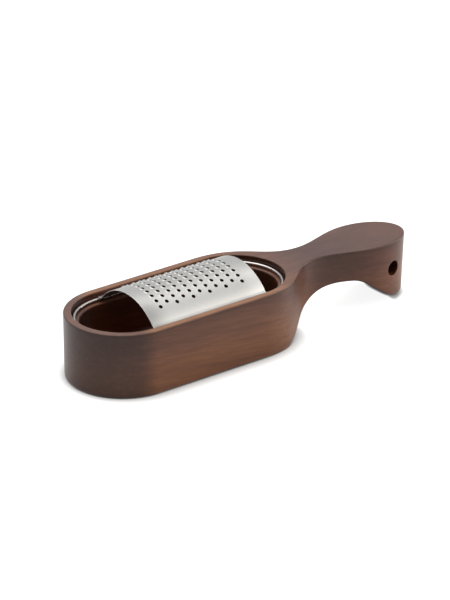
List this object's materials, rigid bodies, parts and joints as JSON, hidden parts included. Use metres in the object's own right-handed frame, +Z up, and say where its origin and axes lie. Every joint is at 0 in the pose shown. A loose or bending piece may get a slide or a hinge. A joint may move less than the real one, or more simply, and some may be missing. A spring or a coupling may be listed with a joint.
{
  "type": "cheese grater",
  "caption": "Hand cheese grater: a carved wooden trough with a handle and foot, and a lift-out steel ring that carries an arched grating sheet.",
  "frame": {"origin": "middle of the bounding box's footprint, on the table that the part stands on", "axes": "+X along the trough towards the handle, +Z up, +Y across"},
  "size_m": [0.2829, 0.082, 0.0596],
  "materials": {
    "dark_hardwood": "satin oiled, grain along the handle",
    "polished_wire": "polished stainless wire",
    "satin_sheet": "satin stainless sheet"
  },
  "bodies": {
    "body": {"wood_body": "dark_hardwood"},
    "insert": {"wire_ring": "polished_wire", "grating_sheet": "satin_sheet"}
  },
  "joints": [
    {"name": "insert_lift", "type": "slide", "parent": "body", "child": "insert", "axis": [0, 0, 1], "range_m": [0, 0.06]}
  ]
}
